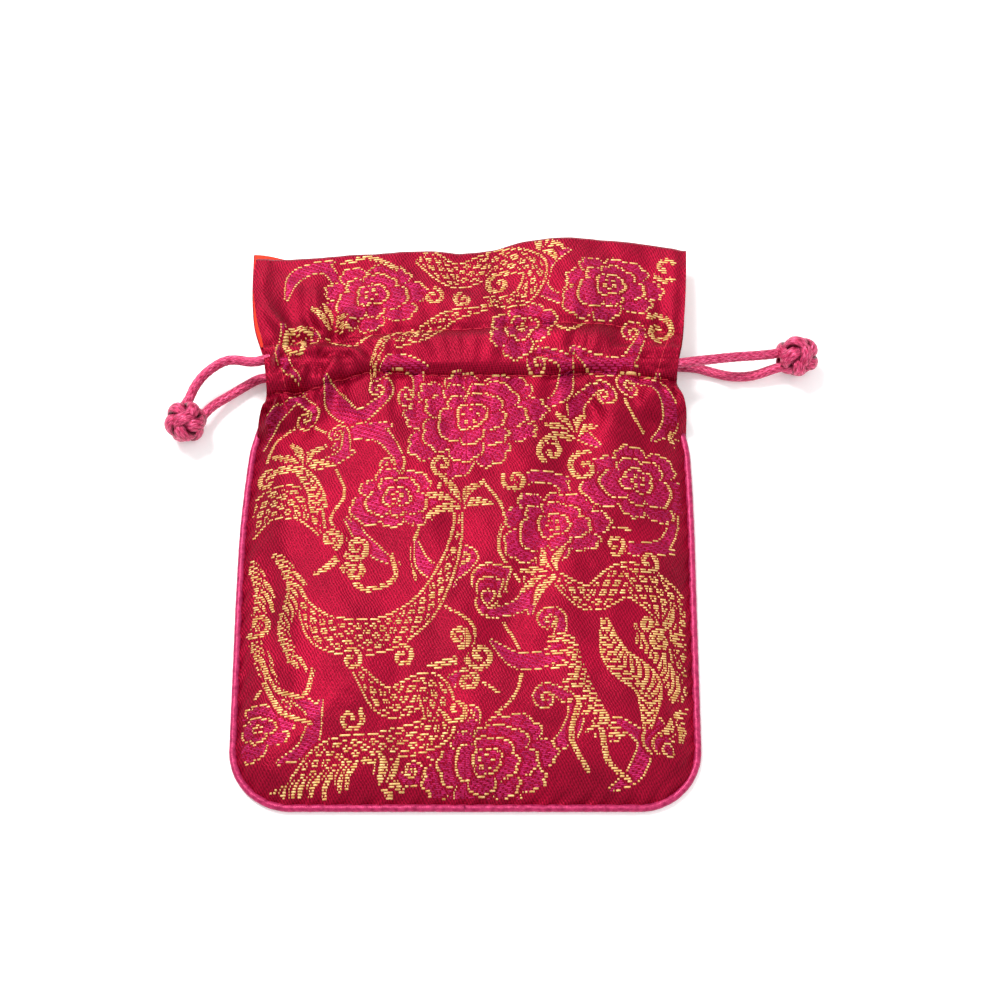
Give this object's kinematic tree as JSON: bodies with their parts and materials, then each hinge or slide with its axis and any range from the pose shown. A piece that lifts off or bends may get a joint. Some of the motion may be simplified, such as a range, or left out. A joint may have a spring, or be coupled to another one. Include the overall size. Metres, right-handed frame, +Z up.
{
  "type": "drawstring dice bag",
  "caption": "Flat lined brocade pouch with piped side seams, open side slits at the mouth and opposed drawstring cords, each ending in a pull loop with a button knot.",
  "frame": {"origin": "middle of the pouch's footprint, on the surface it lies on", "axes": "+Z up out of the surface, +Y along the pouch towards its mouth, +X across it towards the right cord"},
  "size_m": [0.1629, 0.145, 0.0128],
  "materials": {
    "brocade": "satin ground with woven metallic gold and pink floats",
    "lining": "thin smooth acetate lining",
    "piping_satin": "pink satin strip",
    "piping_core": "twisted cotton",
    "thread": "spun sewing thread",
    "satin_cord": "plaited satin"
  },
  "bodies": {
    "pouch": {"front_brocade": "brocade", "back_brocade": "brocade", "front_lining": "lining", "back_lining": "lining", "piping_cover": "piping_satin", "piping_cord": "piping_core", "side_seam_stitch": "thread", "front_upper_casing_stitch": "thread", "front_lower_casing_stitch": "thread", "back_upper_casing_stitch": "thread", "back_lower_casing_stitch": "thread", "front_left_slit_stitch": "thread", "front_right_slit_stitch": "thread", "back_left_slit_stitch": "thread", "back_right_slit_stitch": "thread"},
    "left_drawstring": {"left_drawstring": "satin_cord", "left_pull_loop": "satin_cord", "left_button_knot": "satin_cord"},
    "right_drawstring": {"right_drawstring": "satin_cord", "right_pull_loop": "satin_cord", "right_button_knot": "satin_cord"}
  },
  "joints": [
    {"name": "left_pull", "type": "slide", "parent": "pouch", "child": "left_drawstring", "axis": [-1, 0, 0], "range_m": [0, 0.036], "deforming": ["front_lining", "back_lining"]},
    {"name": "right_pull", "type": "slide", "parent": "pouch", "child": "right_drawstring", "axis": [1, 0, 0], "range_m": [0, 0.036], "deforming": ["front_lining", "back_lining"]}
  ]
}
